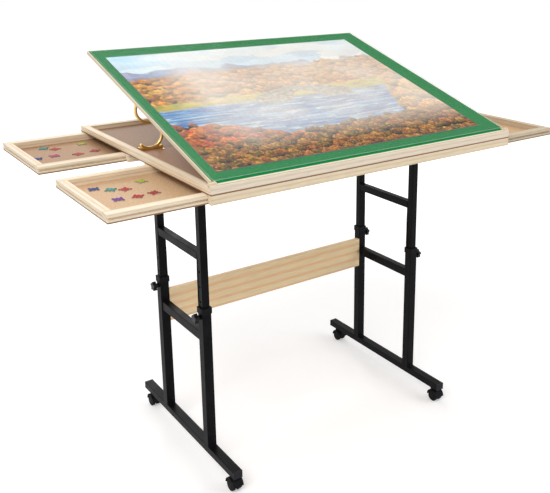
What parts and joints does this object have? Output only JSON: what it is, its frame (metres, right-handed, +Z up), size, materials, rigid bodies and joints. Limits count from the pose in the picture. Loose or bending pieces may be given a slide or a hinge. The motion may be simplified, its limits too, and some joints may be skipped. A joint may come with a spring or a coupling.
{
  "type": "jigsaw puzzle table",
  "caption": "Puzzle table with a felt board that tilts on S-shaped props, a clear cover, side drawers and telescoping steel legs on casters.",
  "frame": {"origin": "on the floor, under the middle of the table", "axes": "+X to the right of someone sitting at the table's front edge, +Y to the rear, +Z up"},
  "size_m": [1.312, 0.76, 1.0501],
  "materials": {
    "black_powder_coat": "satin black powder coat on steel tube",
    "black_plastic": "moulded black plastic",
    "pine": "planed pine, clear lacquer",
    "plywood": "plywood panel",
    "hardboard": "smooth brown hardboard",
    "green_felt": "green felt",
    "printed_card": "printed card, standing in for puzzle board",
    "clear_sheet": "clear acrylic sheet",
    "gold_plated_steel": "gold-coloured plated steel rod",
    "zinc_steel": "zinc-plated steel"
  },
  "bodies": {
    "lower_frame": {"left_floor_bar": "black_powder_coat", "right_floor_bar": "black_powder_coat", "floor_bar_plugs": "black_plastic", "left_front_outer_post": "black_powder_coat", "left_rear_outer_post": "black_powder_coat", "right_front_outer_post": "black_powder_coat", "right_rear_outer_post": "black_powder_coat", "left_crossbar": "black_powder_coat", "right_crossbar": "black_powder_coat", "stretcher_board": "pine", "stretcher_plates": "black_powder_coat", "stretcher_screws": "zinc_steel", "post_collars": "black_plastic"},
    "upper_table": {"left_upper_frame": "black_powder_coat", "right_upper_frame": "black_powder_coat", "top_bar_screws": "zinc_steel", "front_apron": "pine", "rear_apron": "pine", "front_runner": "pine", "rear_runner": "pine", "cross_rail": "pine", "tray_front_lip": "pine", "tray_rear_rail": "pine", "tray_left_rail": "pine", "tray_right_rail": "pine", "tray_front_floor": "hardboard", "tray_rear_floor": "hardboard", "pivot_blocks": "pine", "pivot_pins": "zinc_steel", "prop_clips": "gold_plated_steel"},
    "board": {"board_panel": "plywood", "board_felt": "green_felt", "finished_puzzle": "printed_card"},
    "cover": {"clear_cover": "clear_sheet"},
    "left_prop": {"left_prop": "gold_plated_steel"},
    "right_prop": {"right_prop": "gold_plated_steel"},
    "left_front_drawer": {"left_front_drawer_rails": "pine", "left_front_drawer_floor": "hardboard", "front_loose_pieces": "printed_card"},
    "left_rear_drawer": {"left_rear_drawer_rails": "pine", "left_rear_drawer_floor": "hardboard", "rear_loose_pieces": "printed_card"},
    "right_front_drawer": {"right_front_drawer_rails": "pine", "right_front_drawer_floor": "hardboard"},
    "right_rear_drawer": {"right_rear_drawer_rails": "pine", "right_rear_drawer_floor": "hardboard"},
    "left_front_knob": {"left_front_clamp_knob": "black_plastic"},
    "left_rear_knob": {"left_rear_clamp_knob": "black_plastic"},
    "right_front_knob": {"right_front_clamp_knob": "black_plastic"},
    "right_rear_knob": {"right_rear_clamp_knob": "black_plastic"},
    "left_front_caster": {"left_front_caster_housing": "black_plastic"},
    "left_front_wheels": {"left_front_caster_wheels": "black_plastic"},
    "left_rear_caster": {"left_rear_caster_housing": "black_plastic"},
    "left_rear_wheels": {"left_rear_caster_wheels": "black_plastic"},
    "right_front_caster": {"right_front_caster_housing": "black_plastic"},
    "right_front_wheels": {"right_front_caster_wheels": "black_plastic"},
    "right_rear_caster": {"right_rear_caster_housing": "black_plastic"},
    "right_rear_wheels": {"right_rear_caster_wheels": "black_plastic"}
  },
  "joints": [
    {"name": "height_adjust", "type": "slide", "parent": "lower_frame", "child": "upper_table", "axis": [0, 0, 1], "range_m": [-0.12, 0.12]},
    {"name": "board_tilt", "type": "hinge", "parent": "upper_table", "child": "board", "pos_m": [0, -0.3722, 0.8393], "axis": [1, 0, 0], "range_deg": [0, 43]},
    {"name": "cover_lift", "type": "slide", "parent": "board", "child": "cover", "axis": [0, -0.289, 0.9573], "range_m": [0, 0.085]},
    {"name": "left_prop_fold", "type": "hinge", "parent": "upper_table", "child": "left_prop", "pos_m": [-0.388, 0.055, 0.8273], "axis": [-1, 0, 0], "range_deg": [0, 90]},
    {"name": "right_prop_fold", "type": "hinge", "parent": "upper_table", "child": "right_prop", "pos_m": [0.388, 0.055, 0.8273], "axis": [-1, 0, 0], "range_deg": [0, 90]},
    {"name": "left_front_drawer_slide", "type": "slide", "parent": "upper_table", "child": "left_front_drawer", "axis": [-1, 0, 0], "range_m": [-0.214, 0.098]},
    {"name": "left_rear_drawer_slide", "type": "slide", "parent": "upper_table", "child": "left_rear_drawer", "axis": [-1, 0, 0], "range_m": [-0.214, 0.098]},
    {"name": "right_front_drawer_slide", "type": "slide", "parent": "upper_table", "child": "right_front_drawer", "axis": [1, 0, 0], "range_m": [-0.198, 0.114]},
    {"name": "right_rear_drawer_slide", "type": "slide", "parent": "upper_table", "child": "right_rear_drawer", "axis": [1, 0, 0], "range_m": [-0.198, 0.114]},
    {"name": "left_front_knob_turn", "type": "hinge", "parent": "lower_frame", "child": "left_front_knob", "pos_m": [-0.3673, -0.122, 0.424], "axis": [1, 0, 0], "range_deg": [0, 720]},
    {"name": "left_rear_knob_turn", "type": "hinge", "parent": "lower_frame", "child": "left_rear_knob", "pos_m": [-0.3673, 0.122, 0.424], "axis": [1, 0, 0], "range_deg": [0, 720]},
    {"name": "right_front_knob_turn", "type": "hinge", "parent": "lower_frame", "child": "right_front_knob", "pos_m": [0.3673, -0.122, 0.424], "axis": [-1, 0, 0], "range_deg": [0, 720]},
    {"name": "right_rear_knob_turn", "type": "hinge", "parent": "lower_frame", "child": "right_rear_knob", "pos_m": [0.3673, 0.122, 0.424], "axis": [-1, 0, 0], "range_deg": [0, 720]},
    {"name": "left_front_caster_swivel", "type": "hinge", "parent": "lower_frame", "child": "left_front_caster", "pos_m": [-0.346, -0.238, 0.046], "axis": [0, 0, 1], "continuous": true},
    {"name": "left_front_wheel_spin", "type": "hinge", "parent": "left_front_caster", "child": "left_front_wheels", "pos_m": [-0.346, -0.247, 0.016], "axis": [1, 0, 0], "continuous": true},
    {"name": "left_rear_caster_swivel", "type": "hinge", "parent": "lower_frame", "child": "left_rear_caster", "pos_m": [-0.346, 0.238, 0.046], "axis": [0, 0, 1], "continuous": true},
    {"name": "left_rear_wheel_spin", "type": "hinge", "parent": "left_rear_caster", "child": "left_rear_wheels", "pos_m": [-0.346, 0.229, 0.016], "axis": [1, 0, 0], "continuous": true},
    {"name": "right_front_caster_swivel", "type": "hinge", "parent": "lower_frame", "child": "right_front_caster", "pos_m": [0.346, -0.238, 0.046], "axis": [0, 0, 1], "continuous": true},
    {"name": "right_front_wheel_spin", "type": "hinge", "parent": "right_front_caster", "child": "right_front_wheels", "pos_m": [0.346, -0.247, 0.016], "axis": [1, 0, 0], "continuous": true},
    {"name": "right_rear_caster_swivel", "type": "hinge", "parent": "lower_frame", "child": "right_rear_caster", "pos_m": [0.346, 0.238, 0.046], "axis": [0, 0, 1], "continuous": true},
    {"name": "right_rear_wheel_spin", "type": "hinge", "parent": "right_rear_caster", "child": "right_rear_wheels", "pos_m": [0.346, 0.229, 0.016], "axis": [1, 0, 0], "continuous": true}
  ]
}
